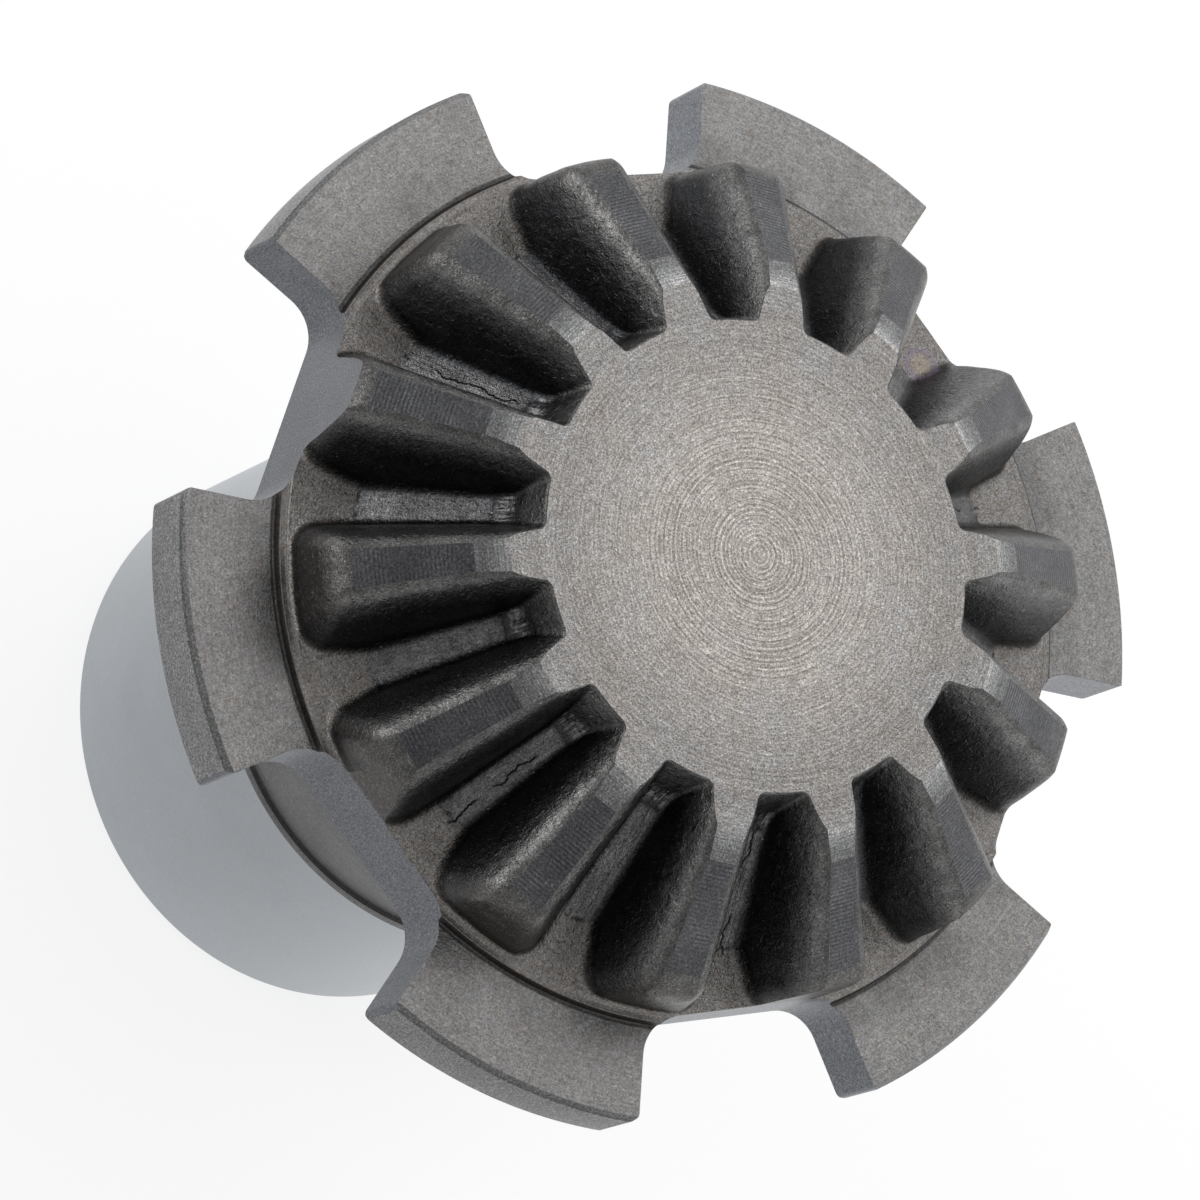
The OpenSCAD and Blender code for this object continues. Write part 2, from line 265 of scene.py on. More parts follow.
def gear_form(t, b):
    """Cones, radii and heights that follow from the chosen sizes"""
    f = SimpleNamespace(t=t, b=b)
    f.flange_z = b.face_z - b.face_h
    f.flange_back_z = f.flange_z - b.flange_t
    f.web_z = f.flange_z + b.web_step
    f.pitch_r = t.teeth * t.module / 2
    f.pitch_cone = np.arctan(t.teeth / t.mate_teeth)
    f.pitch_drop = np.pi / 2 - f.pitch_cone
    f.cone_l = f.pitch_r / np.cos(f.pitch_drop)
    f.half = np.pi / t.teeth
    f.land_drop = f.pitch_drop - np.arctan(t.addendum / f.cone_l)
    f.stock_drop = f.pitch_drop - np.arctan((t.addendum + t.land_stock) / f.cone_l)
    f.round_drop = f.pitch_drop - np.arctan((t.addendum - t.edge_round) / f.cone_l)
    f.root_drop = f.pitch_drop + np.arctan(t.dedendum / f.cone_l)
    f.fillet_drop = np.arctan(t.root_fillet / f.cone_l)
    f.heel_r = f.pitch_r + t.heel_out
    f.land_end_r = f.heel_r - t.heel_round
    f.land_end_z = f.flange_z + b.land_h
    f.apex_z = f.land_end_z + f.land_end_r * np.tan(f.land_drop)
    f.land_start_r = (f.apex_z - b.face_z) / np.tan(f.land_drop)
    f.break_r = f.land_start_r - b.face_break / 2
    f.break_end_r = f.break_r + b.face_break + b.toe_facet
    f.step_r = f.heel_r + t.heel_fillet + b.web_w
    f.virtual_r = f.pitch_r / np.cos(f.pitch_cone)
    f.virtual_base = f.virtual_r * np.cos(t.pressure)
    f.most_half = f.half - t.crest / 2 / f.heel_r
    f.crease_r = f.heel_r - t.fan_w
    f.fan_end = np.array([f.heel_r + t.heel_fillet / 2, f.web_z + t.heel_fillet / 4])
    f.middles = (np.arange(t.teeth) + 0.5) * 2 * f.half
    f.toe_line, f.toe_foot_r = toe_line(f)
    return f


def tooth_half(f, drop):
    """Half the angle of a tooth about the axis, on a ray that drops by the given angle"""
    rho = f.virtual_r - f.cone_l * np.tan(drop - f.pitch_drop)
    press = np.arccos(np.minimum(1, f.virtual_base / rho))
    return f.half / 2 + (involute(f.t.pressure) - involute(press)) / np.cos(f.pitch_cone)


def space_half(f, drop):
    """Half the angle of a tooth space about the axis, on such a ray"""
    return f.half - tooth_half(f, drop)


def top_height(f, r):
    """Height of the turned top of a tooth at radius r"""
    land = f.apex_z - r * np.tan(f.land_drop)
    break_land = f.apex_z - f.break_end_r * np.tan(f.land_drop)
    if r <= f.break_r:
        return f.b.face_z
    if r <= f.break_end_r:
        return f.b.face_z + (break_land - f.b.face_z) * (r - f.break_r) / (f.break_end_r - f.break_r)
    if r <= f.land_end_r:
        return land
    s = np.sqrt(max(0.0, (f.heel_r - r) / f.t.heel_round))
    low = f.land_end_z - 2 * f.t.heel_round
    mid = f.land_end_z - f.t.heel_round / 2
    return (1 - s) ** 2 * low + 2 * s * (1 - s) * mid + s * s * f.land_end_z


def root_height(f, r):
    """Height of a root floor at radius r"""
    return f.apex_z - r * np.tan(f.root_drop)


def fan_height(f, r):
    """Height of the fan at the heel end of a root floor, at radius r"""
    crease_z = root_height(f, f.crease_r)
    return crease_z + (f.fan_end[1] - crease_z) * (r - f.crease_r) / (f.fan_end[0] - f.crease_r)


def toe_line(f):
    """Lip, wall and fillet at the toe end of a space, from the front face down, and the foot's radius"""
    t, face_z = f.t, f.b.face_z
    lean = np.tan(TOE_LEAN)
    lip = bend([t.toe_r, face_z], [t.toe_r + LIP_PULL * t.toe_lip, face_z],
               [t.toe_r + LIP_REACH * t.toe_lip, face_z - LIP_DEPTH * t.toe_lip], 6)
    wall_r, wall_z = lip[-1]
    foot_r = (f.apex_z - wall_z - wall_r / lean) / (np.tan(f.root_drop) - 1 / lean)
    foot_z = root_height(f, foot_r)
    up = 0.95 * t.toe_fillet / np.cos(TOE_LEAN)
    end_r = foot_r + t.toe_fillet
    fillet = bend([foot_r - up * lean, foot_z + up], [foot_r, foot_z], [end_r, root_height(f, end_r)], 7)
    wall = np.linspace(lip[-1], fillet[0], 8)[1:-1]
    return np.concatenate([lip, wall, fillet]), foot_r


def stations(f):
    """Radius and floor height of each section, from the front face to the heel"""
    inner, outer = f.crease_r - CREASE_BLEND, f.crease_r + CREASE_BLEND
    crease = bend([inner, root_height(f, inner)], [f.crease_r, root_height(f, f.crease_r)],
                  [outer, fan_height(f, outer)], 4)
    run = np.arange(f.toe_line[-1, 0] + 0.3 * MM, f.crease_r - 1.3 * CREASE_BLEND, FLOOR_STEP)
    floor = np.stack([run, root_height(f, run)], 1)
    corner_r = f.heel_r - f.t.heel_corner
    run = np.arange(f.crease_r + 1.5 * CREASE_BLEND, corner_r, FAN_STEP)
    turn = np.linspace(0, np.pi / 2, 19)[1:]
    heel = np.concatenate([run, corner_r + f.t.heel_corner * np.sin(turn)])
    rows = np.concatenate([f.toe_line, floor, crease, np.stack([heel, fan_height(f, heel)], 1)])
    for r in (f.break_r, f.break_end_r, f.land_end_r):
        near = np.abs(rows[:, 0] - r).argmin()
        rows[near] = [r, np.interp(r, rows[:, 0], rows[:, 1])]
    return rows


def setback(f, r, drop):
    """How far a flank is set back at radius r, for the round heel corners"""
    share = np.clip((drop - f.land_drop) / (f.root_drop - f.land_drop), 0, 1)
    c = f.t.heel_corner_top + (f.t.heel_corner - f.t.heel_corner_top) * share
    over = np.clip(r - f.heel_r + c, 0, c)
    return c - np.sqrt(c * c - over * over)


def toe_squeeze(f, r, z):
    """How far a flank closes in at radius r, for the round corner at the wall of the toe"""
    corner = f.t.toe_corner * (1 - 0.4 * np.clip((f.b.face_z - z) / (4 * MM), 0, 1))
    wall_r = np.interp(z, f.toe_line[::-1, 1], f.toe_line[::-1, 0])
    inside = np.clip(corner - r + wall_r, 0, corner)
    return corner - np.sqrt(corner ** 2 - inside ** 2)


def side_line(f, r, floor_z):
    """Side of a tooth at radius r, from its crest to the root floor, as widths off the middle and heights"""
    floor_drop = np.arctan((f.apex_z - floor_z) / r)
    shallow = np.clip((f.b.face_z - floor_z) / (3 * MM), 0.05, 1)
    foot_drop = floor_drop - f.fillet_drop * shallow
    foot = space_half(f, floor_drop)
    crest = bend([f.most_half, f.stock_drop], [space_half(f, f.stock_drop), f.stock_drop],
                 [space_half(f, f.round_drop), f.round_drop], CREST_STEPS)
    drops = np.linspace(f.round_drop, foot_drop, FLANK_STEPS)[1:-1]
    flank = np.stack([space_half(f, drops), drops], 1)
    fillet = bend([space_half(f, foot_drop), foot_drop], [foot, floor_drop],
                  [foot - shallow * f.t.root_fillet / f.heel_r, floor_drop], FILLET_STEPS)
    off, drop = np.concatenate([crest, flank, fillet]).T
    z = f.apex_z - r * np.tan(drop)
    off = np.minimum(f.most_half, off + setback(f, r, drop) / r)
    off = np.maximum(0.3 * off, off - toe_squeeze(f, r, z) / r)
    return np.stack([(f.half - off) * r, z], 1)


def below_top(side, top_z):
    """The part of a side below the turned top, which its first point lies on"""
    z = side[:, 1]
    keep = z <= top_z + 1e-9
    first = int(np.argmax(keep))
    if not keep.any():
        side = side[-1:]
    elif first > 0:
        share = (z[first - 1] - top_z) / (z[first - 1] - z[first])
        on_top = side[first - 1] + share * (side[first] - side[first - 1])
        side = np.concatenate([[on_top], side[first:]])
    return np.repeat(side, 2, axis=0) if len(side) == 1 else side


def lipped(f, r, side):
    """A side with the small lip at the turned top, which fades out along the land"""
    fade = np.clip((f.break_end_r + LIP_FADE - r) / (2 * LIP_FADE), 0.15, 1)
    lip = min(f.t.toe_lip * fade * 0.9, 0.45 * (side[0, 1] - side[-1, 1]))
    if lip <= WELD_GAP:
        return side
    run = run_lengths(side)
    end = along(side, [lip / run[-1]])[0]
    return np.concatenate([bend(side[0] - [0.5 * lip, 0], side[0], end, 8), side[run > lip * 1.02]])


def section(f, r, floor_z):
    """Half a section of a tooth at radius r, as angles off the tooth's middle and heights"""
    top_z = top_height(f, r)
    side = lipped(f, r, below_top(side_line(f, r, floor_z), top_z))
    even = np.linspace(0, 1, SIDE_COLUMNS + 1)
    side = along(side, 0.55 * even + 0.45 * (0.5 - 0.5 * np.cos(np.pi * even)))
    top = np.stack([np.linspace(0, side[0, 0], TOP_COLUMNS + 1)[:-1], np.full(TOP_COLUMNS, top_z)], 1)
    floor = np.stack([np.linspace(side[-1, 0], f.half * r, FLOOR_COLUMNS + 1)[1:],
                      np.full(FLOOR_COLUMNS, floor_z)], 1)
    half = np.concatenate([top, side, floor])
    half[:, 0] /= r
    return half


class Skin:
    """Collects the vertices and faces of a mesh in grids"""

    def __init__(self):
        self.points, self.faces, self.finish = [], [], []
        self.count = 0

    def add(self, points):
        points = np.asarray(points, float).reshape(-1, 3)
        self.points.append(points)
        self.count += len(points)
        return np.arange(self.count - len(points), self.count)

    def grid(self, index, finish, around=False):
        """Quads over a grid of vertex numbers; finish has one value for each quad"""
        other = np.roll(index, -1, axis=1) if around else index[:, 1:]
        base = index if around else index[:, :-1]
        quads = np.stack([base[:-1], other[:-1], other[1:], base[1:]], -1).reshape(-1, 4)
        self.faces.append(quads)
        self.finish.append(np.broadcast_to(finish, (index.shape[0] - 1, base.shape[1])).reshape(-1))

    def fan(self, ring, centre, finish, flip=False):
        tip = self.add([centre])[0]
        after = np.roll(ring, -1)
        order = (after, ring) if flip else (ring, after)
        triangles = np.stack([*order, np.full(len(ring), tip), np.full(len(ring), -1)], -1)
        self.faces.append(triangles)
        self.finish.append(np.full(len(ring), finish))

    def mesh(self, name):
        points = np.concatenate(self.points)
        faces = [[int(i) for i in face if i >= 0] for face in np.concatenate(self.faces)]
        mesh = bpy.data.meshes.new(name)
        mesh.from_pydata(points.tolist(), [], faces)
        mesh.polygons.foreach_set("material_index", np.concatenate(self.finish).astype(np.int32))
        mesh.update()
        return mesh


def ring_points(r, z, angles):
    r, z = np.broadcast_to(r, angles.shape), np.broadcast_to(z, angles.shape)
    return np.stack([r * np.cos(angles), r * np.sin(angles), z], -1)


def blank_profile(f):
    """Outline of the turned parts outside the heel, as radius, height and the finish that follows"""
    t, b = f.t, f.b
    neck_r = b.journal_r - b.shoulder
    chamfer_r = b.flange_r - b.rim_chamfer_w
    web = arc([f.heel_r + t.heel_fillet, f.web_z + t.heel_fillet], t.heel_fillet, 235, 270, 4)
    flange = np.linspace(f.step_r + 0.5 * MM, chamfer_r, 5)[:-1]
    fillet = arc([neck_r + b.neck_fillet, f.flange_back_z - b.neck_fillet], b.neck_fillet, 90, 180, 6)
    return [*((*point, WEB) for point in web),
            (f.step_r - b.web_w * 0.55, f.web_z, WEB),
            (f.step_r - b.web_w * 0.4, f.web_z - STEP_SOFT, WEB),
            (f.step_r - 0.05 * MM, f.flange_z + 0.08 * MM, WEB),
            (f.step_r + STEP_SOFT, f.flange_z, FLANGE),
            *((r, f.flange_z, FLANGE) for r in flange),
            (chamfer_r, f.flange_z, RIM),
            (b.flange_r, f.flange_z - b.rim_chamfer_l, RIM),
            (b.flange_r, f.flange_back_z + b.rear_chamfer, RIM),
            (b.flange_r - b.rear_chamfer, f.flange_back_z, FLANGE),
            *((*point, NECK) for point in fillet),
            (neck_r, b.journal_l, NECK),
            (b.journal_r - b.shoulder_break, b.journal_l, NECK),
            (b.journal_r, b.journal_l - b.shoulder_break, JOURNAL),
            (b.journal_r, b.journal_chamfer, JOURNAL),
            (b.journal_r - b.journal_chamfer, 0.0, RIM)]


def mirrored(half, sign=1):
    """Values over a whole tooth, from those over half of it"""
    return np.concatenate([sign * half[:, :0:-1], half[:, :-1]], 1)


def tooth_block(f, skin):
    """Teeth and spaces; gives the vertices at the heel, half the section there and how far it flares"""
    rows = stations(f)
    halves = np.array([section(f, r, z) for r, z in rows])
    fillet = f.t.heel_fillet
    low = np.clip(f.web_z + fillet - halves[-1, :, 1], 0, fillet)
    flare = fillet - np.sqrt(fillet ** 2 - low ** 2)
    radius = np.repeat(rows[:, :1], halves.shape[1], axis=1)
    radius[-1] += flare
    tooth = mirrored(halves[..., 0], -1)
    angles = (f.middles[None, :, None] + tooth[:, None, :]).reshape(len(rows), -1)
    reach, height = (np.tile(mirrored(half), f.t.teeth) for half in (radius, halves[..., 1]))
    index = skin.add(ring_points(reach, height, angles)).reshape(len(rows), -1)
    per_tooth = tooth.shape[1]
    on_top = np.abs(np.arange(per_tooth) + 0.5 - per_tooth / 2) < TOP_COLUMNS
    middle_r = (rows[1:, 0] + rows[:-1, 0]) / 2
    top_finish = np.select([middle_r < r for r in (f.break_r, f.break_end_r, f.land_end_r)],
                           [FACE, EDGE, LAND], FORGED)
    finish = np.where(on_top[None, :], top_finish[:, None], FORGED)
    skin.grid(index, np.tile(finish, f.t.teeth), around=True)
    skin.fan(index[0], (0, 0, f.b.face_z), FACE, flip=True)
    return index[-1], halves[-1], flare


def heel_faces(f, skin, edge, half, flare):
    """Closes the teeth at the heel; gives the ring of vertices along their feet and the spaces"""
    per_tooth = len(edge) // f.t.teeth
    foot = TOP_COLUMNS + SIDE_COLUMNS
    shares = np.linspace(-1, 1, 2 * TOP_COLUMNS + 1)[1:-1]
    ring = []
    for i, middle in enumerate(f.middles):
        near = np.roll(edge, -(i * per_tooth + per_tooth // 2))
        patch = [near[np.arange(-TOP_COLUMNS, TOP_COLUMNS + 1)]]
        for j in range(TOP_COLUMNS + 1, foot + 1):
            width, z = half[j]
            row = skin.add(ring_points(f.heel_r + flare[j], z, middle + width * shares))
            patch.append(np.concatenate([[near[-j]], row, [near[j]]]))
        skin.grid(np.array(patch), FORGED)
        ring += [patch[-1], near[foot + 1:foot + 2 * FLOOR_COLUMNS]]
    return np.concatenate(ring)


def turned_body(f, skin, ring):
    """Web, flange and hub, turned about the axis, from the ring at the heels to the end of the hub"""
    start = np.concatenate(skin.points)[ring]
    start_angle = np.unwrap(np.arctan2(start[:, 1], start[:, 0]))
    even = start_angle[0] + np.arange(len(ring)) * 2 * np.pi / len(ring)
    finish = WEB
    for k, (r, z, after) in enumerate(blank_profile(f), 1):
        share = min(1.0, k / EVEN_ROWS)
        row = skin.add(ring_points(r, z, start_angle * (1 - share) + even * share))
        skin.grid(np.stack([ring, row]), finish, around=True)
        ring, finish = row, after
    skin.fan(ring, (0, 0, 0), finish)


def gear_blank(f):
    """The toothed blank with its flange and hub, closed, before the notches and the socket are cut"""
    skin = Skin()
    edge, half, flare = tooth_block(f, skin)
    turned_body(f, skin, heel_faces(f, skin, edge, half, flare))
    return skin


def notch_cutter(f, turn, skin):
    """A prism that leaves one notch between two lugs"""
    b = f.b
    floor_x = b.flange_r - b.notch_depth
    half = np.degrees(b.notch_half)
    out = np.array([np.cos(b.notch_half), np.sin(b.notch_half)])
    side = np.array([-out[1], out[0]])
    corner_turn = 90 - half
    start = floor_x / out[0] + b.notch_corner * np.tan(np.radians(corner_turn / 2))
    corner = arc(start * out - b.notch_corner * side, b.notch_corner, 180, 180 - corner_turn, 12)
    lug_start = half - 90
    lug_end = lug_start + LUG_TURN
    lug = arc((b.flange_r - b.lug_corner) * out + b.lug_corner * side, b.lug_corner, lug_start, lug_end, 6)
    away = np.radians(lug_end + 90)
    run = SPILL * np.array([np.cos(away), np.sin(away)])
    line = np.concatenate([corner, lug, [lug[-1] + run, [b.flange_r + 2 * SPILL, b.flange_r * out[1]]]])
    line = np.concatenate([line, line[::-1] * [1, -1]])
    line = line @ np.array([[np.cos(turn), np.sin(turn)], [-np.sin(turn), np.cos(turn)]])
    low, high = f.flange_back_z - SPILL, b.face_z + SPILL
    rows = np.array([skin.add(np.column_stack([line, np.full(len(line), z)])) for z in (low, high)])
    skin.grid(rows, NOTCH, around=True)
    middle = line.mean(0)
    skin.fan(rows[0], (*middle, low), NOTCH, flip=True)
    skin.fan(rows[1], (*middle, high), NOTCH)


def socket_cutter(f, skin):
    """The blind socket: mouth, pilot bore, spline, relief and cone"""
    b = f.b
    step = 2 * np.pi / b.spline_teeth
    share = np.array([-0.5, -0.41, -0.32, -0.26, -0.2, -0.07, 0.07, 0.2, 0.26, 0.32, 0.41])
    inner, outer = b.spline_minor, b.spline_major
    mid = (inner + outer) / 2
    radii = np.array([inner, inner, inner, mid, outer, outer, outer, outer, mid, inner, inner])
    angles = (np.arange(b.spline_teeth)[:, None] * step + share[None, :] * step).reshape(-1)
    spline = np.tile(radii, b.spline_teeth)
    eased = np.maximum(spline, inner + SPLINE_LEAD)
    relief_r = outer + b.relief_gap
    top = b.pilot_l + b.spline_l
    rows = [(b.pilot_r + 2 * b.mouth_chamfer, -b.mouth_chamfer), (b.pilot_r, b.mouth_chamfer),
            (b.pilot_r, b.pilot_l), (eased, b.pilot_l), (spline, b.pilot_l + SPLINE_LEAD),
            (spline, top - SPLINE_LEAD), (eased, top), (relief_r, top), (relief_r, top + b.relief_l)]
    index = np.array([skin.add(ring_points(r, z, angles)) for r, z in rows])
    skin.grid(index, SOCKET, around=True)
    skin.fan(index[0], (0, 0, -b.mouth_chamfer), SOCKET, flip=True)
    skin.fan(index[-1], (0, 0, top + b.relief_l + b.socket_cone), SOCKET)


def weld(mesh):
    """Joins the vertices that lie on each other, and turns all faces outwards"""
    bm = bmesh.new()
    bm.from_mesh(mesh)
    bmesh.ops.remove_doubles(bm, verts=bm.verts, dist=WELD_GAP)
    bmesh.ops.dissolve_degenerate(bm, edges=bm.edges, dist=SLIVER)
    bmesh.ops.recalc_face_normals(bm, faces=bm.faces)
    bad = sum(1 for e in bm.edges if len(e.link_faces) != 2)
    bm.to_mesh(mesh)
    bm.free()
    if bad:
        raise RuntimeError(f"{mesh.name}: {bad} open edges")


def put_in_scene(name, mesh):
    piece = bpy.data.objects.new(name, mesh)
    bpy.context.scene.collection.objects.link(piece)
    return piece


def cut(piece, cutter):
    """Takes the cutter's form out of the piece, with the cutter's finish on the cut"""
    hollow = piece.modifiers.new("cuts", "BOOLEAN")
    hollow.operation = "DIFFERENCE"
    hollow.solver = "MANIFOLD"
    hollow.object = cutter
    graph = bpy.context.evaluated_depsgraph_get()
    result = bpy.data.meshes.new_from_object(piece.evaluated_get(graph))
    piece.modifiers.clear()
    old = piece.data
    piece.data = result
    bpy.data.meshes.remove(old)
    waste = cutter.data
    bpy.data.objects.remove(cutter)
    bpy.data.meshes.remove(waste)


def vertex_places(mesh):
    places = np.empty(len(mesh.vertices) * 3)
    mesh.vertices.foreach_get("co", places)
    return places.reshape(-1, 3)


def ease(value, low, high):
    """0 at low, 1 at high, eased between them"""
    s = np.clip((value - low) / (high - low), 0, 1)
    return s * s * (3 - 2 * s)


def tooth_place(f, places):
    """Radius, signed distance from the middle of the tooth space, its number, and depth from land to root"""
    x, y, z = places.T
    r = np.hypot(x, y)
    turn = np.arctan2(y, x)
    number = np.round(turn / (2 * f.half))
    across = (turn - number * 2 * f.half) * r
    drop = np.arctan2(f.apex_z - z, np.maximum(r, 1e-6))
    depth = (drop - f.land_drop) / (f.root_drop - f.land_drop)
    return r, across, number.astype(int) % f.t.teeth, depth


def forge_waves(f, mesh):
    """Gives the forged faces the shallow waves of the die"""
    places = vertex_places(mesh)
    forged = np.zeros(len(places), bool)
    turned = np.zeros(len(places), bool)
    for face in mesh.polygons:
        (forged if face.material_index == FORGED else turned)[list(face.vertices)] = True
    normals = np.empty(len(places) * 3)
    mesh.vertex_normals.foreach_get("vector", normals)
    normals = normals.reshape(-1, 3)
    r, _, _, depth = tooth_place(f, places)
    share = ease(depth, 0.02, 0.35) * ease(r, f.t.toe_r, f.t.toe_r + 1.0 * MM)
    for i in np.flatnonzero(forged & ~turned):
        at = Vector(places[i]) / MM
        wave = noise.noise(at * BROAD_WAVE) + NARROW_SHARE * noise.noise(at * NARROW_WAVE + NARROW_SHIFT)
        places[i] += normals[i] * wave * share[i] * f.t.unevenness
    mesh.vertices.foreach_set("co", places.reshape(-1))
    mesh.update()


def whole_numbers(rows, name):
    """One whole number of each row of a mesh"""
    values = np.empty(len(rows), np.int32)
    rows.foreach_get(name, values)
    return values


def soften(mesh):
    """Smooth shading, with sharp edges where the form turns or a machined face ends"""
    mesh.polygons.foreach_set("use_smooth", np.ones(len(mesh.polygons), bool))
    mesh.set_sharp_from_angle(angle=SHARP_ANGLE)
    finish = np.repeat(whole_numbers(mesh.polygons, "material_index"),
                       whole_numbers(mesh.polygons, "loop_total"))
    edges = whole_numbers(mesh.loops, "edge_index")
    lowest = np.full(len(mesh.edges), SOCKET)
    highest = np.full(len(mesh.edges), FACE)
    np.minimum.at(lowest, edges, finish)
    np.maximum.at(highest, edges, finish)
    blended = (lowest == FORGED) & (highest == WEB)
    sharp = mesh.attributes.get("sharp_edge") or mesh.attributes.new("sharp_edge", "BOOLEAN", "EDGE")
    flags = np.empty(len(mesh.edges), bool)
    sharp.data.foreach_get("value", flags)
    sharp.data.foreach_set("value", flags | ((lowest != highest) & ~blended))
    mesh.update()


def mark_zones(f, mesh):
    """Stores where the forged faces are lighter near the tops and darker at the foot of the heels, both
    painted shade, where they are gritty or at the heel, for their finish
    """
    places = vertex_places(mesh)
    r, across, number, depth = tooth_place(f, places)
    z = places[:, 2]
    floor_half = (space_half(f, f.root_drop) - f.t.root_fillet / f.heel_r) * r
    beside = np.abs(across) / np.maximum(floor_half, WELD_GAP)
    table_r = np.linspace(f.t.toe_r, f.heel_r, 400)
    below = (np.interp(r, table_r, [top_height(f, v) for v in table_r]) - z) / MM
    over_fan = (z - fan_height(f, r)) / MM
    past_toe, past_crease, past_heel = ((r - start) / MM for start in (f.toe_foot_r, f.crease_r, f.heel_r))
    outer = ease(past_crease, -0.3, 0.3)
    fan = outer * ease(over_fan, 1.2, 0.15)
    # painted shade: foot marks the fillet where a heel meets the web, which is painted dark
    foot = outer * ease(over_fan, 0.1, 0.4) * ease(over_fan, 1.4, 0.6)
    floor = (ease(beside, 1.5, 0.8) * ease(depth, 0.8, 0.96)
             * ease(past_crease, 0.6, 0.1) * ease(past_toe, 0.8, 1.3))
    toe = (ease(past_toe, -0.35, -0.05) * ease(past_toe, 0.75, 0.4)
           * ease(beside, 1.9, 1.2) * ease(below, 3.2, 3.8))
    heel = ease(past_heel, -1.6, -0.2) * (1 - fan)
    # painted shade: crest grows towards the tops, which are painted lighter than the depths of the spaces
    crest = ease(below, 4.5, 0.2)
    marks = np.random.default_rng(MARK_SEED).permutation(f.t.teeth) / f.t.teeth
    shares = (crest, floor, toe, fan, foot, heel, across / MM, marks[number])
    for name, values in zip(ZONES, shares):
        mesh.attributes.new(name, "FLOAT", "POINT").data.foreach_set("value", values.astype(np.float32))


class MakeSideGear(bpy.types.Operator):
    """Builds the gear: forged teeth, turned blank, milled notches and splined socket"""
    bl_idname = "mesh.side_gear_make"
    bl_label = "Make side gear"

    def execute(self, context):
        scene = context.scene
        f = gear_form(scene.side_gear_teeth, scene.side_gear_blank)
        materials = [make(scene.side_gear_finish, f) for make in FINISHES]
        mesh = gear_blank(f).mesh("side_gear_forging")
        weld(mesh)
        forge_waves(f, mesh)
        cutters = Skin()
        for i in range(f.b.lugs):
            notch_cutter(f, (i + 0.5) * 2 * np.pi / f.b.lugs, cutters)
        socket_cutter(f, cutters)
        cutter_mesh = cutters.mesh("cutters")
        weld(cutter_mesh)
        for m in (mesh, cutter_mesh):
            for material in materials:
                m.materials.append(material)
        piece = put_in_scene("side_gear_forging", mesh)
        cut(piece, put_in_scene("cutters", cutter_mesh))
        soften(piece.data)
        mark_zones(f, piece.data)
        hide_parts("side_gear")
        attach(piece, "root")
        return {"FINISHED"}


class Nodes:
    """Adds nodes to one tree"""

    def __init__(self, tree):
        self.tree = tree

    def node(self, kind, settings=None, **inputs):
        """A new node with its settings and its inputs by name"""
        node = self.tree.nodes.new("ShaderNode" + kind)
        for key, value in (settings or {}).items():
            setattr(node, key, value)
        for key, value in inputs.items():
            self.put(node.inputs[key], value)
        return node

    def put(self, socket, value):
        """Links the value to the socket where it comes from a node, and sets it there otherwise"""
        if isinstance(value, bpy.types.NodeSocket):
            self.tree.links.new(value, socket)
        elif socket.type == "RGBA":
            socket.default_value = (*value, 1)
        else:
            socket.default_value = value

    def first(self, kind, settings, *values):
        """First output of a new node with its inputs in order"""
        node = self.node(kind, settings)
        for socket, value in zip(node.inputs, values):
            self.put(socket, value)
        return node.outputs[0]

    def vector(self, operation, a, b=None, scale=None, out="Vector"):
        node = self.node("VectorMath", {"operation": operation})
        self.put(node.inputs[0], a)
        if b is not None:
            self.put(node.inputs[1], b)
        if scale is not None:
            self.put(node.inputs["Scale"], scale)
        return node.outputs[out]


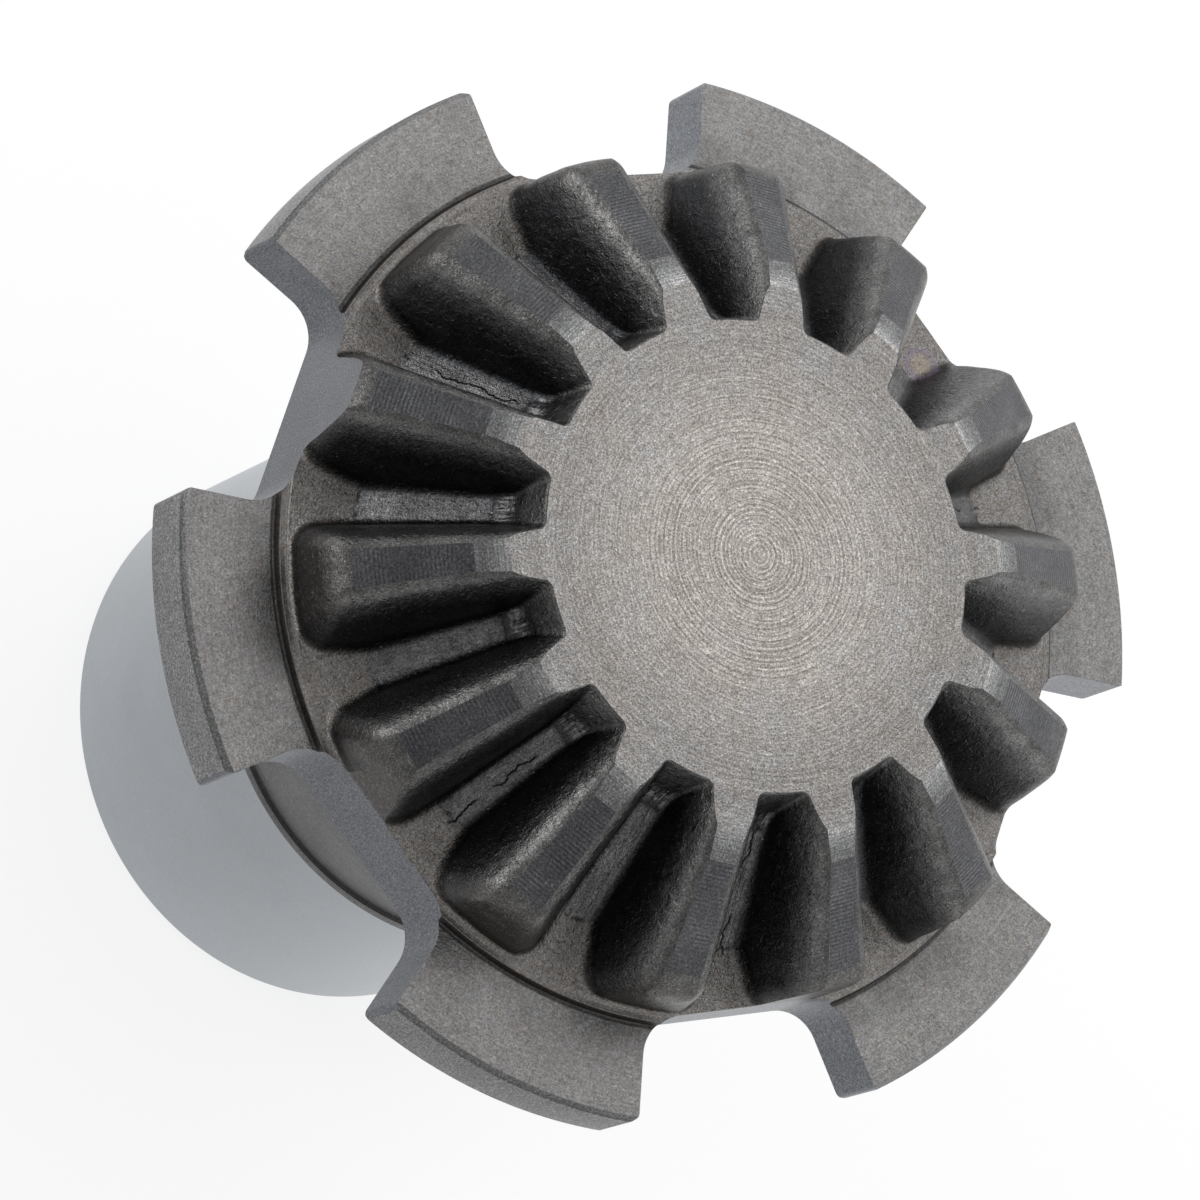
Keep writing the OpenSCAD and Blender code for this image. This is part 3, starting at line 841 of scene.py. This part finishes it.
class Finish(Nodes):
    """One material, built from nodes that work in millimetres"""

    def __init__(self, name, roughness):
        self.material = bpy.data.materials.new("gear_" + name)
        self.material.use_nodes = True
        super().__init__(self.material.node_tree)
        self.rounded = None
        self.shader = self.tree.nodes["Principled BSDF"]
        self.shader.inputs["Metallic"].default_value = 1
        self.shader.inputs["Roughness"].default_value = roughness
        self.place = self.vector("SCALE", self.node("TexCoord").outputs["Object"], scale=1 / MM)
        self.x, self.y, self.z = self.node("SeparateXYZ", Vector=self.place).outputs
        flat = self.node("CombineXYZ", X=self.x, Y=self.y).outputs[0]
        self.radius = self.vector("LENGTH", flat, out="Value")

    def math(self, operation, a, b=0.0, clamp=False):
        return self.first("Math", {"operation": operation, "use_clamp": clamp}, a, b)

    def times(self, *values):
        """The product of the values"""
        product, *others = values
        for value in others:
            product = self.math("MULTIPLY", product, value)
        return product

    def sum(self, base, *terms):
        """The base and each value times its weight"""
        for value, weight in terms:
            base = self.first("Math", {"operation": "MULTIPLY_ADD"}, value, weight, base)
        return base

    def off(self, value, middle):
        """How far the value is from the middle, either way"""
        return self.math("ABSOLUTE", self.math("SUBTRACT", value, middle))

    def span(self, value, low, high, first=0.0, last=1.0):
        """Eased from first to last while value goes from low to high"""
        return self.first("MapRange", {"interpolation_type": "SMOOTHSTEP"}, value, low, high, first, last)

    def mix(self, share, a, b, blend="MIX"):
        node = self.node("Mix", {"data_type": "RGBA", "blend_type": blend})
        for i, v in ((0, share), (6, a), (7, b)):
            self.put(node.inputs[i], v)
        return node.outputs[2]

    def tint(self, colour, amount):
        """The colour times a grey amount"""
        grey = self.node("CombineColor", Red=amount, Green=amount, Blue=amount).outputs[0]
        return self.mix(1.0, colour, grey, "MULTIPLY")

    def shade(self, *terms):
        """How much lighter or darker the values make a colour; a weight of 1 is about three times"""
        return self.math("POWER", np.e, self.sum(0.0, *terms))

    def grain(self, size, detail=3.0, rough=0.6, warp=0.0, at=None):
        """Noise from about -1 to 1, with grains about size millimetres across"""
        node = self.node("TexNoise", Vector=at or self.place, Scale=1 / size, Detail=detail,
                         Roughness=rough, Distortion=warp)
        return self.sum(-2.0, (node.outputs["Fac"], 4.0))

    def grit(self, size=0.18):
        """The fine sharp grain of blasted steel"""
        return self.grain(size, detail=2, rough=0.7)

    def lines(self, run, pitch, detail=2.0):
        """Noise from about -1 to 1 along one measure, as tool marks of about that pitch"""
        node = self.node("TexNoise", {"noise_dimensions": "1D"}, W=run, Scale=1 / pitch, Detail=detail,
                         Roughness=0.6)
        return self.sum(-2.0, (node.outputs["Fac"], 4.0))

    def feed(self, run, pitch):
        """Even tool lines of that pitch, a little unsteady, from -1 to 1"""
        wander = self.sum(0.0, (self.lines(run, 1.3), 0.6), (self.grain(1.5), 0.5))
        return self.math("SINE", self.sum(wander, (run, 2 * np.pi / pitch)))

    def arcs(self, size, stretch):
        """Noise from about -1 to 1, drawn out along the turning direction"""
        turn = self.math("ARCTAN2", self.y, self.x)
        at = self.node("CombineXYZ", X=self.radius, Y=self.times(turn, self.radius, 1 / stretch), Z=self.z)
        return self.grain(size, detail=2, at=at.outputs[0])

    def streaks(self, size, squeeze):
        """Noise from about -1 to 1, squeezed along each axis"""
        return self.grain(size, detail=2, rough=0.5, at=self.vector("MULTIPLY", self.place, squeeze))

    def zone(self, name):
        return self.node("Attribute", {"attribute_name": name}).outputs["Fac"]

    def ragged(self, zone, full, *terms):
        """A zone with its border broken up by the values and their weights"""
        return self.math("MULTIPLY", self.sum(zone, *terms), self.span(zone, 0.0, full), clamp=True)

    def specked(self, colour, stain, low, high):
        """The colour with specks of the stain, where their noise goes from low to high"""
        return self.mix(self.span(self.grain(0.7, detail=3, rough=0.8), low, high), colour, stain)

    def round_off(self, reach):
        """Rounds the sharp edges to that radius, and tells how near one is"""
        self.rounded = self.node("Bevel", {"samples": 4}, Radius=reach * MM).outputs[0]
        true_normal = self.node("NewGeometry").outputs["Normal"]
        turn = self.vector("DOT_PRODUCT", self.rounded, true_normal, out="Value")
        return self.span(turn, 0.997, 0.9)

    def worn_and_lit(self, reach, patch, low, least, most):
        """Rounds the edges, and tells how bright they are painted there, as bare worn metal and as a painted
        highlight, in patches of that size
        """
        return self.times(self.round_off(reach), self.span(self.grain(patch), low, 0.8, least, most))

    def bumps(self, depth, *heights):
        """Bump of the given depth in millimetres, from heights and their weights, over the rounded edges"""
        bump = self.node("Bump", Strength=1.0, Distance=depth * MM, Height=self.sum(0.0, *heights))
        if self.rounded is not None:
            self.put(bump.inputs["Normal"], self.rounded)
        self.put(self.shader.inputs["Normal"], bump.outputs[0])

    def done(self, colour, roughness=None):
        self.put(self.shader.inputs["Base Color"], colour)
        if roughness is not None:
            self.put(self.shader.inputs["Roughness"], roughness)
        return self.material


# Numbers in the finishes are millimetres where they are a size or a place, and weights or limits of a
# noise between -1 and 1 where they are not

# Keeps the noise of one tooth space apart from that of the others
SPACE_STEP = 57.0

# Middle and radius of the heat tint
HEAT_PLACE = (-28.1, 14.7, 65.5)
HEAT_R = 1.35


def face_finish(c, form):
    """Turned front face: warm and ringed in the middle, where a painted highlight of the turned rings makes
    it lighter, cooler and darker near the teeth, over a sandy grain
    """
    f = Finish("front_face", 0.4)
    sand, speck, cloud = f.grain(0.15, 1, 0.75), f.grain(0.5, 3, 0.75), f.grain(5.0)
    rings = f.sum(0.0, (f.lines(f.radius, 0.18, 3), 0.7), (f.feed(f.radius, 0.42), 0.3))
    # painted highlight: the rings are stronger and the face lighter in the middle, for the sheen of the
    # turned face
    rings = f.times(rings, f.span(f.sum(f.radius, (cloud, 2.5)), 16, 2, 0.3, 1.0))
    light = f.shade((rings, 0.62), (sand, 0.72), (f.arcs(0.13, 9.0), 0.2), (speck, 0.2), (cloud, 0.08),
                    (f.lines(f.radius, 1.4), 0.06), (f.span(f.radius, 8, 21), -0.26))
    cool = f.sum(-0.9, (f.radius, 0.055), (cloud, 0.5), (speck, 0.6), (f.grain(0.22, 2), 0.6))
    colour = f.tint(f.mix(f.span(cool, -0.6, 1.0), c.face, c.face_cool), light)
    pit = f.span(f.grain(0.33, 1), 1.15, 1.3)
    scuff = f.times(f.span(f.streaks(0.5, (0.4, 1.6, 1.0)), 1.05, 1.25), f.span(cloud, 0.1, 0.5))
    colour = f.mix(f.times(pit, 0.6), colour, c.pit)
    colour = f.mix(f.times(scuff, 0.6), colour, c.scuff)
    f.bumps(0.018, (rings, 0.5), (sand, 0.6), (pit, -1.0))
    return f.done(colour, f.span(sand, -0.8, 0.8, 0.34, 0.48))


def edge_finish(c, form):
    """Broken edge of the front face: bright where it leaves the face, dull towards the top land"""
    f = Finish("broken_edge", 0.38)
    sand, fine = f.grit(0.17), f.lines(f.radius, 0.16)
    out = f.sum(-form.break_r / MM, (f.radius, 1.0), (f.grain(0.9), 0.12))
    width = (form.break_end_r - form.break_r) / MM
    bright = f.times(f.span(out, 0.6, 0.25), f.span(f.grain(1.6, 3, 0.7), -0.9, 0.7, 0.0, 0.85))
    far = f.span(out, 0.2 * width, 0.9 * width)
    dull = f.tint(c.face_cool, f.shade((far, -0.45), (f.grain(2.2), 0.2)))
    f.bumps(0.014, (sand, 0.5), (fine, 0.5))
    return f.done(f.tint(f.mix(bright, dull, c.edge), f.shade((sand, 0.8), (fine, 0.3))))


def land_finish(c, form):
    """Turned top lands: dark and mottled, with fine tool lines and sharp edges painted bright, as worn metal
    and as a painted highlight
    """
    f = Finish("top_land", 0.4)
    mottle = f.grain(0.18, 3, 0.7)
    feed = f.times(f.feed(f.radius, 0.3), f.span(f.grain(4.0, 2), -0.6, 0.7, 0.15, 1.0))
    light = f.shade((feed, 0.32), (mottle, 0.75), (f.grain(3.5), 0.22))
    streak = f.math("ABSOLUTE", f.streaks(0.6, (0.3, 1.3, 0.7)))
    scratch = f.times(f.span(streak, 0.03, 0.0), f.span(f.grain(1.8), 0.45, 0.8), 0.7)
    # edges painted bright: partly worn metal, partly a painted highlight; their normals stay sharp so the
    # bright paint shows
    worn_and_lit = f.worn_and_lit(0.13, 1.1, -0.4, 0.1, 1.0)
    f.rounded = None
    f.bumps(0.014, (feed, 0.4), (mottle, 0.4))
    return f.done(f.mix(f.math("MAXIMUM", scratch, worn_and_lit), f.tint(c.land, light), c.edge),
                  f.span(mottle, -0.8, 0.8, 0.29, 0.4))


def heat_tint(f, c, colour, fine):
    """The colour with the heat tint on one root floor"""
    gap = f.sum(f.vector("DISTANCE", f.place, HEAT_PLACE, out="Value"), (fine, 0.3))
    colour = f.mix(f.span(gap, 1.5, 0.3, 0.0, 0.6), colour, c.heat)
    return f.mix(f.span(f.off(gap, HEAT_R), 0.45, 0.0, 0.0, 0.5), colour, c.heat_edge)


def trim_crack(f, across, valley, floor):
    """Where a crack runs along a root floor; about half of the floors have one"""
    run = f.sum(f.radius, (valley, SPACE_STEP))
    path = f.sum(-0.35, (valley, 0.7), (f.lines(run, 1.6, 4), 0.34))
    there = f.times(f.span(f.lines(run, 4.5, 1), -0.5, -0.1), f.span(valley, 0.4, 0.44), floor)
    return f.times(f.span(f.off(across, path), 0.1, 0.03), there)


def skin_finish(c, form):
    """Forged tooth sides: painted shade makes them black deep in the spaces and greyer near the tops; gritty
    on the root floors
    """
    f = Finish("forged_skin", 0.4)
    crest, floor, toe, fan, foot, heel, across, valley = (f.zone(name) for name in ZONES)
    wrinkle, fine = f.grain(0.7, 2, 0.55, 0.5), f.grain(0.36, 2)
    grit, cloud = f.grit(0.16), f.grain(2.6)
    ground = f.math("MAXIMUM", floor, fan)
    # Dark flanks, painted lighter towards the top and darker deep in the spaces as painted shade, and
    # lighter at the heel
    colour = f.tint(c.skin, f.shade((wrinkle, 0.22), (grit, 0.7), (cloud, 0.3)))
    lit_near_top = f.tint(c.crest, f.shade((grit, 0.75), (wrinkle, 0.12), (cloud, 0.2)))
    colour = f.mix(f.ragged(crest, 0.5, (wrinkle, 0.1), (fine, 0.1)), colour, lit_near_top)
    colour = f.mix(f.times(heel, 0.55), colour, f.tint(c.heel, f.shade((fine, 0.25), (grit, 0.7))))
    # Root floors, drawn out along the space, with a polished end at the toe and a sandy fan at the heel
    drawn = f.node("CombineXYZ", X=across, Y=f.times(f.radius, 0.14), Z=f.times(valley, SPACE_STEP))
    draw = f.grain(0.24, 3, 0.6, 0.3, drawn.outputs[0])
    gritty = f.tint(c.floor, f.shade((grit, 0.65), (draw, 0.3), (fine, 0.2), (cloud, 0.3)))
    colour = f.mix(f.ragged(floor, 0.3, (fine, 0.2)), colour, gritty)
    polished = f.times(toe, f.span(f.sum(draw, (fine, 0.6)), -0.5, 0.8))
    colour = f.mix(polished, colour, c.rim)
    sandy = f.shade((grit, 0.65), (fine, 0.2), (cloud, 0.15))
    sandy = f.tint(f.specked(c.web, c.stain, -0.4, 0.7), sandy)
    colour = f.mix(f.ragged(fan, 0.3, (fine, 0.15)), colour, sandy)
    # Dark seam where the floor meets the fan; painted shade in a dark line at the foot of the heel and along
    # the brink under a top land; shoulders painted lighter as a painted highlight
    seam = f.sum(f.radius, (fine, 0.12), (f.grain(1.2), 0.2))
    seam = f.span(f.off(seam, form.crease_r / MM), 0.2, 0.04)
    seam = f.times(seam, ground, f.span(f.grain(0.9), -0.4, 0.5))
    shoulder = f.times(f.span(crest, 0.72, 0.97), f.span(cloud, -0.9, 0.5))
    brink = f.span(crest, 0.994, 1.0)
    colour = f.tint(colour, f.shade((foot, -1.25), (seam, -1.3), (shoulder, 0.2), (brink, -0.2)))
    # Single marks
    crack = trim_crack(f, across, valley, floor)
    # small bright specks: partly nicks in the skin, partly painted glints
    nick_and_glint = f.span(f.grain(0.27, 0), 1.28, 1.4)
    colour = heat_tint(f, c, colour, fine)
    colour = f.mix(f.times(crack, 0.85), colour, c.crack)
    colour = f.mix(f.times(nick_and_glint, 0.5), colour, c.nick_and_glint)
    pimple = f.span(f.grain(0.42, 1, 0.5, 0.6), 0.3, 1.1)
    sand = f.times(grit, f.span(ground, 0, 1, 0.22, 0.4))
    groove = f.times(draw, f.math("MAXIMUM", floor, toe))
    f.bumps(0.1, (wrinkle, 0.24), (pimple, 0.42), (sand, 0.5), (groove, 0.22), (crack, -1.6))
    return f.done(colour, f.sum(f.span(fine, -0.8, 0.8, 0.32, 0.46), (polished, -0.12)))


def web_finish(c, form):
    """Forged web with the marks of the turning tool towards the step, and a dark line of painted shade along
    the step
    """
    f = Finish("web", 0.45)
    grit, fine = f.grit(), f.lines(f.radius, 0.2)
    # painted shade: dark line along the step down to the flange
    groove = f.span(f.off(f.radius, form.step_r / MM - 0.08), 0.22, 0.08)
    light = f.shade((grit, 0.6), (fine, 0.2), (f.grain(2.4), 0.15), (groove, -1.3))
    f.bumps(0.03, (grit, 0.4), (fine, 0.4))
    return f.done(f.tint(f.specked(c.web, c.stain, -0.4, 0.7), light))


def flange_finish(c, form):
    """Turned flange: warm speckled grey, darker near the tooth heels and along the step by painted shade"""
    f = Finish("flange", 0.44)
    grit, speck, cloud = f.grit(), f.grain(0.5, 4, 0.75), f.grain(5.0)
    fine = f.lines(f.radius, 0.25, 3)
    step_r, front_z = form.step_r / MM, form.flange_z / MM
    front = f.span(f.z, front_z - 1.0, front_z - 0.5)
    # painted shade: darker near the tooth heels, and a dark line along the step
    near = f.times(f.span(f.radius, step_r + 4.4, step_r + 0.2), f.span(f.grain(8.0), -0.5, 0.4), front)
    line = f.times(f.span(f.radius, step_r + 0.42, step_r + 0.12), front)
    light = f.shade((grit, 0.55), (f.arcs(0.15, 4.0), 0.15), (speck, 0.24), (cloud, 0.1), (fine, 0.07),
                    (near, -0.35), (line, -1.2))
    colour = f.tint(f.specked(c.flange, c.stain, 0.0, 0.9), light)
    # edges painted bright: partly worn metal, partly a painted highlight
    colour = f.mix(f.worn_and_lit(0.12, 1.0, -0.3, 0.0, 0.5), colour, c.edge)
    f.bumps(0.024, (grit, 0.6), (fine, 0.15))
    return f.done(colour, f.span(grit, -0.8, 0.8, 0.38, 0.52))


def rim_finish(c, form):
    """Turned rim of the lugs: a darker chamfer, and small chips along the edges"""
    f = Finish("rim", 0.42)
    fine, grit = f.lines(f.z, 0.2, 3), f.grit()
    rim_r = form.b.flange_r / MM
    chamfer = f.span(f.radius, rim_r - 0.015, rim_r - 0.03)
    light = f.shade((fine, 0.14), (grit, 0.8), (f.grain(4.0), 0.12), (chamfer, -0.55))
    edge = f.round_off(0.18)
    chip = f.times(edge, f.span(f.grain(1.1, 2), 0.75, 0.95))
    # edges painted lighter: partly wear, partly a painted highlight
    colour = f.mix(f.times(edge, 0.25), f.tint(c.rim, light), c.edge)
    f.bumps(0.014, (fine, 0.4), (grit, 0.5), (chip, -2.0))
    return f.done(f.mix(chip, colour, c.chip))


def notch_finish(c, form):
    """Milled notch walls: cool grey with faint cutter marks and pits, dark where they graze a tooth"""
    f = Finish("milled_notch", 0.36)
    marks, grit = f.lines(f.sum(f.x, (f.y, 0.73)), 0.8, 3), f.grit()
    pit = f.times(f.span(f.grain(0.45, 1), 1.2, 1.35), f.span(f.grain(6.0), -0.1, 0.5))
    light = f.shade((marks, 0.03), (grit, 0.7), (f.grain(3.0), 0.08))
    web_z = form.web_z / MM
    above = f.span(f.sum(f.z, (f.grain(0.5), 0.12)), web_z + 0.25, web_z + 0.7)
    beside = f.span(f.math("DIVIDE", f.math("ABSOLUTE", f.y), f.radius), 0.9, 0.8)
    forged = f.tint(c.heel, f.shade((grit, 0.7), (f.grain(0.4), 0.3)))
    # edges painted bright: partly worn metal, partly a painted highlight
    colour = f.mix(f.worn_and_lit(0.12, 0.8, -0.3, 0.0, 0.4), f.tint(c.notch, light), c.edge)
    colour = f.mix(f.times(above, beside), colour, forged)
    f.bumps(0.012, (marks, 0.1), (grit, 0.6), (pit, -3.0))
    return f.done(f.mix(pit, colour, c.notch_pit))


def journal_finish(c, form):
    """Ground journal, smooth and bright"""
    f = Finish("ground_journal", 0.3)
    fine, cloud = f.lines(f.z, 0.12, 3), f.grain(9.0)
    f.bumps(0.001, (fine, 0.6))
    return f.done(f.tint(c.journal, f.shade((fine, 0.02), (cloud, 0.07), (f.grain(0.25, 2), 0.06))),
                  f.span(cloud, -0.8, 0.8, 0.27, 0.34))


def neck_finish(c, form):
    """Turned neck, duller than the journal"""
    f = Finish("turned_neck", 0.42)
    fine, grit = f.lines(f.z, 0.25, 3), f.grit(0.22)
    f.bumps(0.01, (fine, 0.5), (grit, 0.3))
    return f.done(f.tint(c.neck, f.shade((fine, 0.12), (f.grain(3.0), 0.12), (grit, 0.25))))


def socket_finish(c, form):
    """Bored and broached socket"""
    f = Finish("socket", 0.38)
    fine, grit = f.lines(f.z, 0.22, 3), f.grit(0.25)
    f.bumps(0.01, (fine, 0.5), (grit, 0.3))
    return f.done(f.tint(c.socket, f.shade((fine, 0.16), (grit, 0.25), (f.grain(4.0), 0.1))))


FINISHES = (face_finish, edge_finish, land_finish, skin_finish, web_finish, flange_finish,
            rim_finish, notch_finish, journal_finish, neck_finish, socket_finish)


# The camera's axes to the right, upwards and back, and its place
CAMERA_RIGHT = Vector((-0.29009, 0.82724, 0.48117))
CAMERA_UP = Vector((-0.88367, -0.42456, 0.19716))
CAMERA_BACK = Vector((0.36738, -0.36800, 0.85417))
CAMERA_TURN = Matrix((CAMERA_RIGHT, CAMERA_UP, CAMERA_BACK)).transposed()
CAMERA_PLACE = Vector((0.20467, -0.20711, 0.53150))
SENSOR_MM = 36

# What the lamps shine at, and the ways to them along the camera's axes
LAMP_AIM = Vector((0, 0, 0.06))
KEY_WAY = CAMERA_TURN @ Vector((-0.75, 0.65, 0.55))
FILL_WAY = CAMERA_TURN @ Vector((0.85, 0.6, 0.45))

# Where along the floor its mirrored light turns dull, and how its glow makes way for the shadow
WHITE = (1, 1, 1)
DULL_START, DULL_END = -0.02, 0.04
GLOW_LOSS = 0.58

# From how far towards the viewer the air is dimmer, as a cosine, and what is left of it there
DIM_START, DIM_END = 0.1, 0.95
DIM_SHARE = 0.38


def empty_nodes(block):
    """The cleared node tree of a new material or world"""
    block.use_nodes = True
    block.node_tree.nodes.clear()
    return Nodes(block.node_tree)


def floor_finish(stage):
    """Pale floor that looks white, keeps a soft shadow and mirrors duller towards the viewer"""
    material = bpy.data.materials.new("floor")
    n = empty_nodes(material)
    ray = n.node("LightPath").outputs
    viewer = Vector((CAMERA_BACK.x, CAMERA_BACK.y, 0)).normalized()
    towards = n.vector("DOT_PRODUCT", n.node("NewGeometry").outputs["Position"], viewer, out="Value")
    dim = n.first("MapRange", None, towards, DULL_START, DULL_END, 1.0, stage.dull)
    mirrored_light = n.node("Emission", Color=WHITE, Strength=dim).outputs[0]
    plain = n.node("BsdfDiffuse", Color=stage.floor).outputs[0]
    shaded = n.node("BsdfDiffuse", Color=[v * stage.shadow for v in stage.floor]).outputs[0]
    glow = n.node("Emission", Color=WHITE, Strength=1 - GLOW_LOSS * stage.shadow).outputs[0]
    bounced = n.first("MixShader", None, ray["Is Glossy Ray"], plain, mirrored_light)
    seen = n.first("AddShader", None, shaded, glow)
    n.node("OutputMaterial", Surface=n.first("MixShader", None, ray["Is Camera Ray"], bounced, seen))
    return material


def studio_air(stage):
    """Soft white light all round, dimmer from the side of the viewer, and a white backdrop"""
    world = bpy.data.worlds.new("studio")
    n = empty_nodes(world)
    towards = n.vector("DOT_PRODUCT", n.node("TexCoord").outputs["Generated"], CAMERA_BACK, out="Value")
    dim = n.first("MapRange", None, towards, DIM_START, DIM_END, stage.air, stage.air * DIM_SHARE)
    lit = n.node("Background", Color=WHITE, Strength=dim).outputs[0]
    seen = n.node("Background", Color=WHITE, Strength=1.0).outputs[0]
    pick = n.first("MixShader", None, n.node("LightPath").outputs["Is Camera Ray"], lit, seen)
    n.node("OutputWorld", Surface=pick)
    return world


def put_lamp(stage, name, way, watts):
    """A round lamp on that way from the gear, turned towards it"""
    lamp = bpy.data.lights.new(name, "AREA")
    lamp.shape = "DISK"
    lamp.size = stage.lamp_size
    lamp.energy = watts
    way = way.normalized()
    turn = way.to_track_quat("Z", "Y").to_matrix().to_4x4()
    put_in_scene(name, lamp).matrix_world = Matrix.Translation(LAMP_AIM + way * stage.lamp_gap) @ turn


def put_camera(stage):
    lens = bpy.data.cameras.new("camera")
    lens.sensor_width = SENSOR_MM
    lens.lens = stage.focal
    camera = put_in_scene("camera", lens)
    camera.matrix_world = Matrix.Translation(CAMERA_PLACE) @ CAMERA_TURN.to_4x4()
    return camera


class MakeStage(bpy.types.Operator):
    """Builds the pale floor, the soft lights and the camera"""
    bl_idname = "scene.side_gear_stage"
    bl_label = "Make stage"

    def execute(self, context):
        scene = context.scene
        stage = scene.side_gear_stage
        scene.view_settings.view_transform = "Standard"
        half = stage.size / 2
        corners = [(-half, -half, 0), (half, -half, 0), (half, half, 0), (-half, half, 0)]
        mesh = bpy.data.meshes.new("floor")
        mesh.from_pydata(corners, [], [(0, 1, 2, 3)])
        mesh.materials.append(floor_finish(stage))
        floor = put_in_scene("floor", mesh)
        scene.world = studio_air(stage)
        put_lamp(stage, "key", KEY_WAY, stage.key)
        put_lamp(stage, "fill", FILL_WAY, stage.fill)
        scene.camera = put_camera(stage)
        return {"FINISHED"}


class SideGearPanel(bpy.types.Panel):
    """Lists the pieces of the side gear"""
    bl_idname = "VIEW3D_PT_side_gear"
    bl_label = "Side gear"
    bl_space_type = "VIEW_3D"
    bl_region_type = "UI"
    bl_category = "Side gear"

    def draw(self, context):
        for operator in OPERATORS:
            self.layout.operator(operator.bl_idname)


GROUPS = {"side_gear_teeth": GearTeeth, "side_gear_blank": GearBlank,
          "side_gear_finish": GearFinish, "side_gear_stage": GearStage}
OPERATORS = (MakeSideGear, MakeStage)


def register():
    for name, group in GROUPS.items():
        bpy.utils.register_class(group)
        setattr(bpy.types.Scene, name, PointerProperty(type=group))
    for part in (*OPERATORS, SideGearPanel):
        bpy.utils.register_class(part)


def unregister():
    for part in (SideGearPanel, *OPERATORS[::-1]):
        bpy.utils.unregister_class(part)
    for name, group in GROUPS.items():
        delattr(bpy.types.Scene, name)
        bpy.utils.unregister_class(group)


def main():
    register()
    bpy.ops.mesh.side_gear_make()
    bpy.ops.scene.side_gear_stage()


if __name__ == "__main__":
    main()
